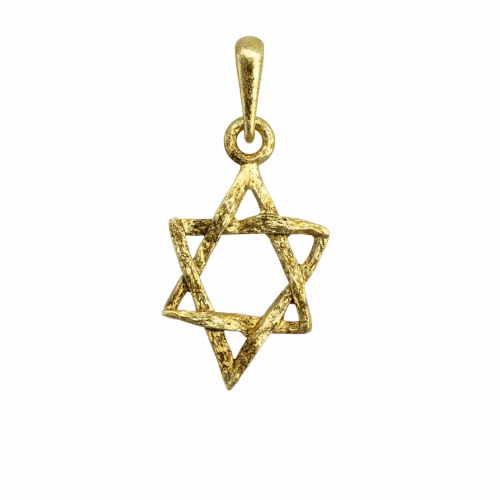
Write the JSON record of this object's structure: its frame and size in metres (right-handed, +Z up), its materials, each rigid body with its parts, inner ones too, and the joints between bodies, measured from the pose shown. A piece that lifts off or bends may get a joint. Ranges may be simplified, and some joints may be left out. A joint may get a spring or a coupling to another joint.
{
  "type": "star of david pendant",
  "caption": "Cast gold pendant: a six-pointed star of two woven, hammered triangles with a loop on top, swinging from a tapered bail that a chain passes through.",
  "frame": {"origin": "where the chain bears: the middle of the bail's inside, at the top of its eye", "axes": "+Z up along the pendant as it hangs, +X to the right seen from the front, the front faces -Y; the chain runs along X"},
  "size_m": [0.0166, 0.0048, 0.0356],
  "materials": {
    "star_gold": "cast and hammered yellow gold, bright on the high places and darker in the pits",
    "bail_gold": "polished yellow gold with fine handling marks"
  },
  "bodies": {
    "bail": {"bail": "bail_gold"},
    "star": {"star": "star_gold"}
  },
  "joints": [
    {"name": "star_swing", "type": "hinge", "parent": "bail", "child": "star", "pos_m": [0, 0, -0.00938], "axis": [0, 1, 0], "range_deg": [-120, 120]}
  ]
}
